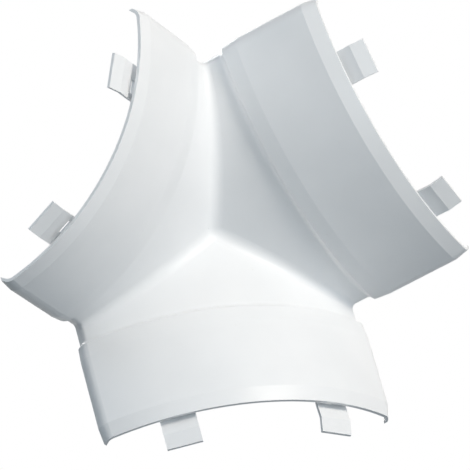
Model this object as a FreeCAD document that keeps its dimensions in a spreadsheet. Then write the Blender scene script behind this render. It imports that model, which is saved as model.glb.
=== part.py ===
# Cover for the place where three runs of corner trunking meet in the corner of a room.
#
# The room corner is the origin: the ceiling is the plane z = 0, one wall is the plane x = 0
# and the other the plane y = 0. The cover lies where x > 0, y < 0 and z < 0. Three equal arms
# leave the corner along +X, -Y and -Z, and each closes the angle between two of the planes
# with a bulging front. Two sprung tongues at each end slip under the trunking's own cover.
# The whole is one moulding.
import FreeCAD, Part
import math
import os
import Sketcher
from FreeCAD import Placement, Rotation, Vector

# Driving dimensions, in millimetres and degrees.
dimensions = [
    ("ridgeReach", 119.0, "from the edge between two planes to the ridge of a sleeve"),
    ("axisShift", 19.6, "from that edge back to the axis of the bulging front"),
    ("lipRadius", 9.0, "radius that turns the front in towards the wall"),
    ("lipAngle", 40.0, "lean of the lip where it meets the wall, in degrees"),
    ("lipFlat", 0.5, "straight end of the lip at a sleeve"),
    ("wallThickness", 1.8, "thickness of the moulding"),
    ("hubPassing", 14.3, "from the ridge of the next arm to the top of the step"),
    ("stepLength", 2.5, "length of the step, along the arm"),
    ("stepDrop", 3.9, "how far the hub lies below the sleeve"),
    ("stepRadius", 3.5, "hollow at the foot of the step"),
    ("slopeLength", 9.5, "from the top of the step to the sleeve"),
    ("slopeDrop", 1.0, "how far the slope starts below the sleeve"),
    ("sleeveLength", 43.7, "from the slope to the end band"),
    ("bandLength", 8.5, "from the sleeve to the end of an arm"),
    ("endDrop", 1.9, "how far the end lies below the sleeve"),
    ("creaseRadius", 8.0, "hollow where two arms meet, at the middle of the cover"),
    ("notchRadius", 3.0, "the same hollow at the wall, where the crease ends in a notch"),
    ("tongueWidth", 20.3, "width of a tongue, across the arm"),
    ("tongueThickness", 1.6, "thickness of a tongue"),
    ("tongueAngle", 20.2, "from the ridge to the middle of a tongue, in degrees"),
    ("tongueReach", 15.3, "how far a tongue stands out of the arm"),
    ("tongueRoot", 14.0, "how far a tongue reaches back inside the arm"),
    ("rootLength", 3.0, "length of the tongue's root on the sleeve"),
    ("rootBite", 1.0, "how deep the root runs into the moulding"),
    ("tongueGap", 3.7, "from the inside of the end to a tongue"),
    ("bendReach", 7.2, "from the end of the arm to the bend of a tongue"),
    ("bendRise", 0.3, "how far a tongue rises to its bend"),
    ("tipDrop", 2.2, "how far a tongue comes down from its bend to its tip"),
    ("slotLength", 8.0, "length of a tongue's slot, across the arm"),
    ("slotWidth", 2.9, "width of a tongue's slot, along the arm"),
    ("slotDepth", 2.5, "from the end of the arm back to a tongue's slot"),
    ("slotShift", 2.5, "how far a slot lies off the middle, towards the ridge"),
    ("overrun", 6.0, "how far a hollow passes the faces that it opens"),
]

# Places along an arm, from the room corner, and the size of the front, as sums of dimensions.
hubReach = "ridgeReach + hubPassing"
sleeveStart = f"{hubReach} + slopeLength"
sleeveEnd = f"{sleeveStart} + sleeveLength"
armReach = f"{sleeveEnd} + bandLength"
frontRadius = "ridgeReach + axisShift"

# The arms are one arm turned about the line through the corner that leans equally on all planes.
cornerAxis = Vector(1, -1, -1)
armNames = ["CeilingRight", "CeilingLeft", "WallEdge"]

# How far a point may lie off a plane and still count as in it.
tolerance = 0.001

# Points of a sketch edge, as its constraints name them, and the sketch's own origin.
startPoint, endPoint, middlePoint = range(1, 4)
originPoint = (-1, 1)


def makeSheet(doc):
    sheet = doc.addObject("Spreadsheet::Sheet", "Dimensions")
    for row, (name, value, note) in enumerate(dimensions, start=1):
        sheet.set(f"A{row}", name)
        sheet.set(f"B{row}", str(value))
        sheet.set(f"C{row}", note)
        sheet.setAlias(f"B{row}", name)
    doc.recompute()


def valueOf(doc, text):
    """Value of a sum of dimensions, such as f"{hubReach} - stepLength". An empty text is zero."""
    result, sign = 0.0, 1
    for word in text.split():
        if word in ("+", "-"):
            sign = 1 if word == "+" else -1
        else:
            result += sign * float(doc.Dimensions.get(word))
    return result


def boundTo(text):
    """The same sum as an expression over the sheet."""
    words = [word if word in ("+", "-") else f"Dimensions.{word}" for word in text.split()]
    return " ".join(words) or "0"


def planeOf(body, role):
    return next(feature for feature in body.Origin.OriginFeatures if feature.Role == role)


def newSketch(body, name, role):
    sketch = body.newObject("Sketcher::SketchObject", name)
    sketch.AttachmentSupport = [(planeOf(body, role), "")]
    sketch.MapMode = "FlatFace"
    return sketch


def addBound(sketch, kind, places, value, expression):
    """Adds one dimensional constraint and binds it to the sheet."""
    number = sketch.addConstraint(Sketcher.Constraint(kind, *places, value))
    sketch.setExpression(f"Constraints[{number}]", expression)


def drawSection(doc, body, name, reach, depth):
    """Section of an arm at a distance from the room corner, `depth` inside the sleeve's skin.

    It starts a little beyond both planes, so that they can trim it: along one plane, up the
    lip that leans in, round the lip and the bulging front, and back down the other lip.
    """
    sketch = newSketch(body, name, "YZ_Plane")
    sketch.setExpression("AttachmentOffset.Base.z", boundTo(reach))
    turn = math.radians(valueOf(doc, "lipAngle"))
    front = valueOf(doc, frontRadius) - valueOf(doc, depth)
    lip = valueOf(doc, "lipRadius") - valueOf(doc, depth)
    between = valueOf(doc, f"{frontRadius} - lipRadius")
    behind = valueOf(doc, "axisShift") / math.sqrt(2)
    lipHeight = valueOf(doc, "lipRadius") * math.sin(turn) + valueOf(doc, "lipFlat") * math.cos(turn)
    rise = math.asin((lipHeight + behind) / between)
    lipReach = between * math.cos(rise) - behind
    tailReach = lipReach + lip * math.cos(turn)
    tailHeight = lipHeight - lip * math.sin(turn)
    base = -valueOf(doc, "overrun")
    footReach = tailReach - (tailHeight - base) * math.tan(turn)

    def place(along, height):
        return Vector(-along, -height, 0)

    def arc(centre, radius, first, last):
        circle = Part.Circle(centre, Vector(0, 0, 1), radius)
        return Part.ArcOfCircle(circle, math.pi + first, math.pi + last)

    quarter = math.pi / 2
    foot, tail, lipOne, bulge, lipTwo, otherTail, otherFoot = sketch.addGeometry([
        Part.LineSegment(place(base, base), place(footReach, base)),
        Part.LineSegment(place(footReach, base), place(tailReach, tailHeight)),
        arc(place(lipReach, lipHeight), lip, -turn, rise),
        arc(place(-behind, -behind), front, rise, quarter - rise),
        arc(place(lipHeight, lipReach), lip, quarter - rise, quarter + turn),
        Part.LineSegment(place(tailHeight, tailReach), place(base, footReach)),
        Part.LineSegment(place(base, footReach), place(base, base)),
    ])
    for kind, *places in (
            ("Coincident", foot, endPoint, tail, startPoint),
            ("Tangent", tail, endPoint, lipOne, startPoint),
            ("Tangent", lipOne, endPoint, bulge, startPoint),
            ("Tangent", bulge, endPoint, lipTwo, startPoint),
            ("Tangent", lipTwo, endPoint, otherTail, startPoint),
            ("Coincident", otherTail, endPoint, otherFoot, startPoint),
            ("Coincident", otherFoot, endPoint, foot, startPoint),
            ("Horizontal", foot),
            ("Vertical", otherFoot)):
        sketch.addConstraint(Sketcher.Constraint(kind, *places))
    lipSize = f"{boundTo('lipRadius')} - ({boundTo(depth)})"
    behindSize = f"{boundTo('axisShift')} / sqrt(2)"
    heightSize = "{} * sin({turn}) + {} * cos({turn})".format(
        boundTo("lipRadius"), boundTo("lipFlat"), turn=f"{boundTo('lipAngle')} * 1 deg")
    addBound(sketch, "Radius", [bulge], front, f"{boundTo(frontRadius)} - ({boundTo(depth)})")
    addBound(sketch, "Radius", [lipOne], lip, lipSize)
    addBound(sketch, "Radius", [lipTwo], lip, lipSize)
    addBound(sketch, "DistanceX", [*originPoint, bulge, middlePoint], behind, behindSize)
    addBound(sketch, "DistanceY", [*originPoint, bulge, middlePoint], behind, behindSize)
    addBound(sketch, "DistanceY", [lipOne, middlePoint, *originPoint], lipHeight, heightSize)
    addBound(sketch, "DistanceX", [lipTwo, middlePoint, *originPoint], lipHeight, heightSize)
    addBound(sketch, "Angle", [tail], -quarter - turn, f"-90 deg - {boundTo('lipAngle')} * 1 deg")
    addBound(sketch, "Angle", [otherTail], turn, f"{boundTo('lipAngle')} * 1 deg")
    addBound(sketch, "DistanceX", [*originPoint, foot, startPoint], -base, boundTo("overrun"))
    addBound(sketch, "DistanceY", [*originPoint, foot, startPoint], -base, boundTo("overrun"))
    return sketch


def padTo(body, name, sketch, length):
    pad = body.newObject("PartDesign::Pad", name)
    pad.Profile = sketch
    pad.setExpression("Length", boundTo(length))
    return pad


def loftTo(body, name, near, far):
    loft = body.newObject("PartDesign::AdditiveLoft", name)
    loft.Profile = near
    loft.Sections = [far]
    loft.Ruled = True
    return loft


def makeArm(doc, name, inset="", passing=""):
    """One arm as a full block: hub, step, slope, sleeve and the end band that closes in."""
    body = doc.addObject("PartDesign::Body", name)
    plus = f" + {inset}" if inset else ""

    def section(label, reach, depth):
        return drawSection(doc, body, name + label, reach, (depth + plus).strip(" +"))

    hub = section("Corner", "", "stepDrop")
    foot = section("StepFoot", f"{hubReach} - stepLength", "stepDrop")
    top = section("StepTop", hubReach, "slopeDrop")
    sleeve = section("SleeveStart", sleeveStart, "")
    band = section("BandStart", sleeveEnd, "")
    end = section("End", armReach, "endDrop")
    padTo(body, name + "Hub", hub, f"{hubReach} - stepLength")
    loftTo(body, name + "Step", foot, top)
    loftTo(body, name + "Slope", top, sleeve)
    padTo(body, name + "Sleeve", sleeve, "sleeveLength")
    loftTo(body, name + "Band", band, end)
    if passing:
        padTo(body, name + "Mouth", end, passing)
    doc.recompute()
    return body


def copiesRound(doc, name, things):
    """One group of the things for each arm."""
    groups = []
    for number, arm in enumerate(armNames):
        group = doc.addObject("Part::Compound", name + arm)
        group.Links = things
        group.Placement = Placement(Vector(), Rotation(cornerAxis, 360 * number / len(armNames)))
        groups.append(group)
    return groups


def joinArms(doc, name, arm, beyond):
    """The arm and its two copies about the corner, joined and trimmed flat along three planes.

    The trimming planes lie `beyond` the ceiling and the walls.
    """
    joined = doc.addObject("Part::MultiFuse", name + "Joined")
    joined.Shapes = copiesRound(doc, name, [arm])
    joined.Refine = True
    room = doc.addObject("Part::Box", name + "Room")
    roomSize = f"{armReach} + overrun + overrun"
    for side in ("Length", "Width", "Height"):
        room.setExpression(side, boundTo(roomSize))
    room.setExpression("Placement.Base.x", f"-({boundTo(beyond)})")
    for axis in ("y", "z"):
        room.setExpression(f"Placement.Base.{axis}", f"{boundTo(beyond)} - ({boundTo(roomSize)})")
    trimmed = doc.addObject("Part::Common", name)
    trimmed.Base = joined
    trimmed.Tool = room
    doc.recompute()
    return trimmed


def edgesThrough(shape, test):
    """Numbers of the edges all along which a test on the distances from the planes holds."""
    found = []
    for number, edge in enumerate(shape.Edges, start=1):
        first, last = edge.ParameterRange
        points = [edge.valueAt(first + (last - first) * part) for part in (0, 0.35, 0.7, 1)]
        away = [(point.x, -point.y, -point.z) for point in points]
        if all(test(place) for place in away):
            found.append(number)
    return found


def isCrease(away):
    """True between two arms, in the plane that mirrors one into the other."""
    low, middle, high = sorted(away)
    return high - middle < tolerance and middle > tolerance


def endsOf(edge):
    """How far each end of an edge lies from the plane nearest to it."""
    points = [edge.valueAt(place) for place in edge.ParameterRange]
    return [min(point.x, -point.y, -point.z) for point in points]


def roundCreases(doc, block):
    """Rounds the creases between the arms, tightly at the wall and widely at the middle."""
    narrow, wide = valueOf(doc, "notchRadius"), valueOf(doc, "creaseRadius")
    numbers = edgesThrough(block.Shape, isCrease)
    ends = [endsOf(block.Shape.Edges[number - 1]) for number in numbers]
    middle = max(max(pair) for pair in ends)
    creases = doc.addObject("Part::Fillet", "Creases")
    creases.Base = block
    creases.Edges = [
        (number, *(narrow + (wide - narrow) * away / middle for away in pair))
        for number, pair in zip(numbers, ends)]
    doc.recompute()
    return creases


def roundStepFeet(doc, block):
    """Rounds the hollow at the foot of each step."""
    radius = valueOf(doc, "stepRadius")
    stepFoot = valueOf(doc, f"{hubReach} - stepLength")
    feet = doc.addObject("Part::Fillet", "StepFeet")
    feet.Base = block
    feet.Edges = [(number, radius, radius) for number in edgesThrough(
        block.Shape, lambda away: any(abs(reach - stepFoot) < tolerance for reach in away))]
    doc.recompute()
    return feet


def drawTongueSide(doc, body):
    """A tongue from the side: a root in the moulding, a flat run out, a rise, a bend and a tip."""
    back = f"{armReach} - tongueRoot"
    rootFront = f"{back} + rootLength"
    bendAt, tipAt = f"{armReach} + bendReach", f"{armReach} + tongueReach"
    root = f"{frontRadius} - wallThickness + rootBite"
    inside = f"{frontRadius} - endDrop - wallThickness - tongueGap"
    bend = f"{inside} + bendRise"
    tip = f"{bend} - tipDrop"
    corners = [(back, root), (rootFront, root), (rootFront, inside)]
    corners += [(armReach, inside), (bendAt, bend), (tipAt, tip)]
    corners += [(along, f"{out} - tongueThickness") for along, out in (
        (tipAt, tip), (bendAt, bend), (armReach, inside), (back, inside))]
    sketch = newSketch(body, "TongueSide", "XZ_Plane")
    points = [Vector(valueOf(doc, along), valueOf(doc, out), 0) for along, out in corners]
    sides = sketch.addGeometry([
        Part.LineSegment(points[number - 1], points[number]) for number in range(len(points))])
    for number, side in enumerate(sides):
        sketch.addConstraint(Sketcher.Constraint("Coincident", sides[number - 1], endPoint, side, startPoint))
    for side, point, (along, out) in zip(sides, points, corners):
        addBound(sketch, "DistanceX", [*originPoint, side, endPoint], point.x, boundTo(along))
        addBound(sketch, "DistanceY", [*originPoint, side, endPoint], point.y, boundTo(out))
    return sketch


def drawSlot(doc, body):
    sketch = newSketch(body, "TongueSlotOutline", "XY_Plane")
    sketch.setExpression("AttachmentOffset.Base.z", boundTo(frontRadius))
    near, far = f"{armReach} - slotDepth - slotWidth", f"{armReach} - slotDepth"
    half = valueOf(doc, "slotLength") / 2
    middle = valueOf(doc, "slotShift")
    nearAt, farAt = valueOf(doc, near), valueOf(doc, far)
    corners = [Vector(nearAt, middle - half, 0), Vector(farAt, middle - half, 0),
               Vector(farAt, middle + half, 0), Vector(nearAt, middle + half, 0)]
    sides = sketch.addGeometry([
        Part.LineSegment(corners[number], corners[(number + 1) % 4]) for number in range(4)])
    for number, side in enumerate(sides):
        sketch.addConstraint(Sketcher.Constraint("Coincident", sides[number - 1], endPoint, side, startPoint))
        sketch.addConstraint(Sketcher.Constraint("Horizontal" if number % 2 == 0 else "Vertical", side))
    low, right, high, left = sides
    addBound(sketch, "DistanceX", [*originPoint, left, startPoint], nearAt, boundTo(near))
    addBound(sketch, "DistanceX", [*originPoint, right, startPoint], farAt, boundTo(far))
    addBound(sketch, "DistanceY", [low, startPoint, high, startPoint], 2 * half, boundTo("slotLength"))
    addBound(sketch, "DistanceY", [*originPoint, high, startPoint], middle + half,
             f"{boundTo('slotShift')} + {boundTo('slotLength')} / 2")
    return sketch


def makeTongue(doc):
    """A tongue as it would stand on +Z: X runs along the arm, Z out from the front's axis."""
    body = doc.addObject("PartDesign::Body", "Tongue")
    plate = body.newObject("PartDesign::Pad", "TonguePlate")
    plate.Profile = drawTongueSide(doc, body)
    plate.SideType = "Symmetric"
    plate.setExpression("Length", boundTo("tongueWidth"))
    doc.recompute()
    whole = plate.Shape.Volume
    slot = body.newObject("PartDesign::Pocket", "TongueSlot")
    slot.Profile = drawSlot(doc, body)
    slot.Type = "ThroughAll"
    slot.SideType = "Symmetric"
    doc.recompute()
    if slot.Shape.Volume >= whole:
        raise RuntimeError("the slot cuts nothing out of the tongue")
    return body


def placeTongues(doc, tongue):
    """One tongue each side of the ridge of every arm, as one group for each arm."""
    behind = valueOf(doc, "axisShift") / math.sqrt(2)
    ridgeTurn = 135
    left = doc.addObject("Part::Compound", "TongueLeft")
    left.Links = [tongue]
    left.Placement = Placement(
        Vector(0, behind, behind), Rotation(Vector(1, 0, 0), ridgeTurn + valueOf(doc, "tongueAngle")))
    right = doc.addObject("Part::Mirroring", "TongueRight")
    right.Source = left
    right.Normal = Vector(0, 1, -1)
    groups = copiesRound(doc, "Tongues", [left, right])
    doc.recompute()
    return groups


def makeCover(doc):
    outside = joinArms(doc, "Outside", makeArm(doc, "Arm"), "")
    inside = joinArms(doc, "Inside", makeArm(doc, "Hollow", "wallThickness", "overrun"), "wallThickness")
    shell = doc.addObject("Part::Cut", "Shell")
    shell.Base = roundStepFeet(doc, roundCreases(doc, outside))
    shell.Tool = inside
    doc.recompute()
    cover = doc.addObject("Part::MultiFuse", "CornerCover")
    cover.Shapes = [shell] + placeTongues(doc, makeTongue(doc))
    cover.Refine = True
    cover.Label = "corner_cover"
    doc.recompute()
    return cover


def checkModel(doc, parts):
    for item in doc.Objects:
        if {"Invalid", "Error"} & set(item.State):
            raise RuntimeError(f"{item.Label} failed: {item.State}")
    for part in parts:
        if part.Shape.isNull() or not part.Shape.isValid() or len(part.Shape.Solids) != 1:
            raise RuntimeError(f"{part.Label} is not one valid solid")


def writeParts(parts):
    os.makedirs("parts", exist_ok=True)
    for part in parts:
        part.Shape.exportStep(f"parts/{part.Label}.step")
        box = part.Shape.BoundBox
        print(f"{part.Label}: {part.Shape.Volume / 1000:.1f} cm3, x {box.XMin:.2f} to {box.XMax:.2f}, "
              f"y {box.YMin:.2f} to {box.YMax:.2f}, z {box.ZMin:.2f} to {box.ZMax:.2f}")


def main():
    doc = FreeCAD.newDocument("CornerCover")
    makeSheet(doc)
    parts = [makeCover(doc)]
    checkModel(doc, parts)
    writeParts(parts)


main()
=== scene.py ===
import math

import bpy
from mathutils import Matrix, Vector


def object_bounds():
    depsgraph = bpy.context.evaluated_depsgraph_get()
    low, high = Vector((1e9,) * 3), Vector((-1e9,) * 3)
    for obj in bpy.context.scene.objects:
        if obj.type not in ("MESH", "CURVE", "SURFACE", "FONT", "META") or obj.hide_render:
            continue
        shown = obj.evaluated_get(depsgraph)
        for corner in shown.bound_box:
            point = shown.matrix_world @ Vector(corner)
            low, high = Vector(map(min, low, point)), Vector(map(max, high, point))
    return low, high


# Corner cover for white corner trunking, seen from below, where a ceiling meets two walls.
# The solid comes from the frame with its shape finished. This file gives it its moulded
# plastic, and sets the floor, the lamps and the camera round it.
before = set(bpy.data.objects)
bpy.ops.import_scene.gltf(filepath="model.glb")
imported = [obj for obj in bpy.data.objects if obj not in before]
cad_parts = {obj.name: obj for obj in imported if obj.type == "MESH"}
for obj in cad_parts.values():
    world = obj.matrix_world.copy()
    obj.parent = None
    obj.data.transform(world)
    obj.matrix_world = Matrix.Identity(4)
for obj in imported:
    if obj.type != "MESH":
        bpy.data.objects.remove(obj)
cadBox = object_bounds()
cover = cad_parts["corner_cover"]
print("frame loaded:", ", ".join(sorted(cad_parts)))


class Wire:
    # one output of a node, which takes part in sums as a number does
    def __init__(self, shader, socket):
        self.shader = shader
        self.socket = socket

    def joined(self, operation, first, second):
        return self.shader.put(
            "ShaderNodeMath", {"operation": operation}, {0: first, 1: second})

    def __add__(self, other):
        return self.joined("ADD", self, other)

    def __radd__(self, other):
        return self.joined("ADD", other, self)

    def __sub__(self, other):
        return self.joined("SUBTRACT", self, other)

    def __rsub__(self, other):
        return self.joined("SUBTRACT", other, self)

    def __mul__(self, other):
        return self.joined("MULTIPLY", self, other)

    def __rmul__(self, other):
        return self.joined("MULTIPLY", other, self)


class Shader:
    # a material or world that is built up one node at a time
    def __init__(self, owner):
        owner.use_nodes = True
        self.tree = owner.node_tree
        self.tree.nodes.clear()

    def put(self, kind, settings, sockets, output=0):
        node = self.tree.nodes.new(kind)
        for key, value in settings.items():
            setattr(node, key, value)
        for key, value in sockets.items():
            if isinstance(value, Wire):
                self.tree.links.new(value.socket, node.inputs[key])
            else:
                node.inputs[key].default_value = value
        return Wire(self, node.outputs[output]) if node.outputs else node

    def noise(self, place, scale, detail, roughness=0.5):
        sockets = {"Vector": place, "Scale": scale, "Detail": detail, "Roughness": roughness}
        return self.put("ShaderNodeTexNoise", {}, sockets)

    def fade(self, value, low, high):
        # 0 at low, 1 at high, smooth between them
        settings = {"interpolation_type": "SMOOTHSTEP"}
        sockets = {"Value": value, "From Min": low, "From Max": high}
        return self.put("ShaderNodeMapRange", settings, sockets)

    def sway(self, noise, reach):
        # noise lies about a half, so this goes as far down as up
        return (noise - 0.5) * reach

    def tint(self, factor, first, second):
        sockets = {0: factor, 6: first, 7: second}
        return self.put("ShaderNodeMix", {"data_type": "RGBA"}, sockets, output=2)


# The moulded plastic: a satin white skin, and a duller hollow side. An edge is the pair of
# values between which something sets in.
plastic = {
    "white": (0.900, 0.910, 0.922, 1),
    "cloud": (0.868, 0.880, 0.893, 1),      # where the white is a shade deeper
    "cloudScale": 16,
    "cloudEdge": (0.36, 0.68),
    "dust": (0.72, 0.70, 0.66, 1),
    "dustShare": 0.35,
    "speckScale": 620,
    "speckEdge": (0.74, 0.80),
    "patchScale": 90,                       # specks of dust lie in patches
    "patchEdge": (0.52, 0.70),
    "gloss": 0.34,                          # roughness of the outer skin
    "innerGloss": 0.52,                     # the hollow side came off the coarser half of the mould
    "innerEdge": (0.02, -0.05),             # how far a face turns in before it is the hollow side
    "flowScale": 46,
    "flowGloss": 0.10,                      # what each pattern adds to the roughness
    "cloudGloss": 0.06,
    "dustGloss": 0.20,
    "shine": 0.25,
    "glassiness": 1.5,                      # index of refraction
    "grainScale": 1500,
    "grainHeight": 0.5,
    "innerGrain": 1.5,                      # what the hollow side adds to that height
    "waveScale": 24,
    "waveHeight": 3.0,
    "bumpDepth": 0.000035,
    "bumpStrength": 0.5,
}


def makePlastic(name):
    material = bpy.data.materials.new(name)
    shader = Shader(material)
    put = shader.put
    place = put("ShaderNodeTexCoord", {}, {}, output="Object")

    # the skin faces away from the room corner and the hollow side faces it
    facing = put("ShaderNodeNewGeometry", {}, {}, output="Normal")
    outward = put("ShaderNodeVectorMath", {"operation": "NORMALIZE"}, {0: place})
    dot = {"operation": "DOT_PRODUCT"}
    turned = put("ShaderNodeVectorMath", dot, {0: facing, 1: outward}, output="Value")
    hollow = shader.fade(turned, *plastic["innerEdge"])

    cloud = shader.noise(place, plastic["cloudScale"], 3)
    flow = shader.noise(place, plastic["flowScale"], 5, 0.6)
    patch = shader.fade(shader.noise(place, plastic["patchScale"], 2), *plastic["patchEdge"])
    speck = shader.fade(shader.noise(place, plastic["speckScale"], 1), *plastic["speckEdge"])
    dusted = speck * patch

    clouded = shader.fade(cloud, *plastic["cloudEdge"])
    colour = shader.tint(clouded, plastic["white"], plastic["cloud"])
    colour = shader.tint(dusted * plastic["dustShare"], colour, plastic["dust"])

    roughness = plastic["gloss"] + hollow * (plastic["innerGloss"] - plastic["gloss"])
    roughness = roughness + shader.sway(flow, plastic["flowGloss"])
    roughness = roughness + shader.sway(cloud, plastic["cloudGloss"])
    roughness = roughness + dusted * plastic["dustGloss"]

    grain = shader.noise(place, plastic["grainScale"], 2)
    grain = grain * (plastic["grainHeight"] + hollow * plastic["innerGrain"])
    wave = shader.noise(place, plastic["waveScale"], 1) * plastic["waveHeight"]
    normal = put("ShaderNodeBump", {}, {
        "Strength": plastic["bumpStrength"], "Distance": plastic["bumpDepth"],
        "Height": grain + wave})

    surface = put("ShaderNodeBsdfPrincipled", {}, {
        "Base Color": colour, "Roughness": roughness, "Normal": normal,
        "IOR": plastic["glassiness"], "Specular IOR Level": plastic["shine"]})
    put("ShaderNodeOutputMaterial", {}, {"Surface": surface})
    return material


whitePlastic = makePlastic("moulded_white")
for slot in cover.material_slots:
    slot.material = whitePlastic
print("cover finished:", len(cover.data.polygons), "faces")

# The camera looks up from below the cover, so the floor lies well under both.
room = {
    "white": (1, 1, 1, 1),
    "floorDrop": 7.0,
    "floorSize": 40.0,
    "floorColour": (0.86, 0.86, 0.86, 1),
    "floorGlow": 0.7,        # how much of the floor is plain white to the camera
    "air": 0.12,             # light from all round
    "airColour": (0.80, 0.92, 1.0, 1),
}


def seenDirectly(shader):
    # 1 for what the camera sees, straight or in a gloss or a clear piece
    path = shader.put("ShaderNodeLightPath", {}, {}, output="Is Camera Ray")
    seen = path
    for other in ("Is Glossy Ray", "Is Transmission Ray"):
        ray = Wire(shader, path.socket.node.outputs[other])
        seen = shader.put("ShaderNodeMath", {"operation": "MAXIMUM"}, {0: seen, 1: ray})
    return seen


def makeFloor():
    below = (0, 0, -room["floorDrop"])
    bpy.ops.object.select_all(action="DESELECT")
    bpy.ops.mesh.primitive_plane_add(size=room["floorSize"], location=below)
    floor = bpy.context.object
    floor.name = "pale_floor"
    material = bpy.data.materials.new("pale_floor")
    shader = Shader(material)
    plain = shader.put("ShaderNodeBsdfDiffuse", {}, {"Color": room["floorColour"]})
    lit = shader.put("ShaderNodeEmission", {}, {"Color": room["white"], "Strength": 1.0})
    share = seenDirectly(shader) * room["floorGlow"]
    mixed = shader.put("ShaderNodeMixShader", {}, {0: share, 1: plain, 2: lit})
    shader.put("ShaderNodeOutputMaterial", {}, {"Surface": mixed})
    floor.data.materials.append(material)


def makeAir():
    world = bpy.data.worlds.new("studio_air")
    bpy.context.scene.world = world
    shader = Shader(world)
    seen = seenDirectly(shader)
    colour = shader.tint(seen, room["airColour"], room["white"])
    strength = room["air"] + seen * (1 - room["air"])
    air = shader.put("ShaderNodeBackground", {}, {"Color": colour, "Strength": strength})
    shader.put("ShaderNodeOutputWorld", {}, {"Surface": air})


makeFloor()
makeAir()
print("floor and surroundings ready")

# The camera stands at the photograph's viewing angle, with a long lens. Its right, up and back
# are the axes of its turn.
shot = {
    "place": (1.241148, -2.879113, -1.869751),
    "right": (0.837405, 0.493241, -0.235512),
    "up": (0.437983, -0.347762, 0.828995),
    "back": (0.326992, -0.797355, -0.507249),
    "lens": 480.486,
    "sensor": 36.0,
    "farthest": 60.0,
}

sight = Matrix((shot["right"], shot["up"], shot["back"])).transposed()


def makeCamera():
    camera = bpy.data.objects.new("camera", bpy.data.cameras.new("camera"))
    bpy.context.scene.collection.objects.link(camera)
    camera.matrix_world = Matrix.Translation(shot["place"]) @ sight.to_4x4()
    camera.data.lens = shot["lens"]
    camera.data.sensor_width = shot["sensor"]
    camera.data.clip_end = shot["farthest"]
    bpy.context.scene.camera = camera


makeCamera()

# Lamps, placed as the camera sees them: right, up and back towards it. A small warm key comes from
# the upper right, cooler ones soften it, and the rear lamp lights the hollow side.
lamps = {
    "key": {
        "towards": (0.61, 0.59, 0.53), "level": 0.55, "size": 0.50,
        "colour": (1.0, 0.935, 0.86)},
    "side": {"towards": (0.85, 0.18, 0.50), "level": 0.18, "colour": (0.96, 0.98, 1.0)},
    "low": {"towards": (0.80, -0.50, 0.33), "level": 0.09, "colour": (0.86, 0.94, 1.0)},
    "front": {"towards": (0.00, 0.00, 1.00), "level": 0.145, "colour": (0.76, 0.91, 1.0)},
    "top": {"towards": (0.00, 0.60, 0.80), "level": 0.13},
    "left": {"towards": (-0.69, 0.61, 0.39), "level": 0.135, "colour": (0.77, 0.89, 1.0)},
    "rear": {"towards": (-0.35, 0.25, -0.90), "level": 0.46, "colour": (1.0, 0.98, 0.96)},
}


def makeLamp(name, towards, level, distance=1.9, size=1.0, colour=(1, 1, 1)):
    # at this energy a white face turned to the lamp renders at its level
    energy = level * math.pi ** 2 * distance ** 2
    direction = sight @ Vector(towards).normalized()
    light = bpy.data.lights.new(name, "AREA")
    light.shape = "DISK"
    light.size = size
    light.color = colour
    light.energy = energy
    lamp = bpy.data.objects.new(name, light)
    bpy.context.scene.collection.objects.link(lamp)
    lamp.location = (cadBox[0] + cadBox[1]) / 2 + direction * distance
    lamp.rotation_mode = "QUATERNION"
    lamp.rotation_quaternion = direction.to_track_quat("Z", "Y")
    lamp.visible_camera = False


for name, lamp in lamps.items():
    makeLamp(name, **lamp)
print("camera and lamps ready")

bpy.context.scene.view_settings.view_transform = "Standard"
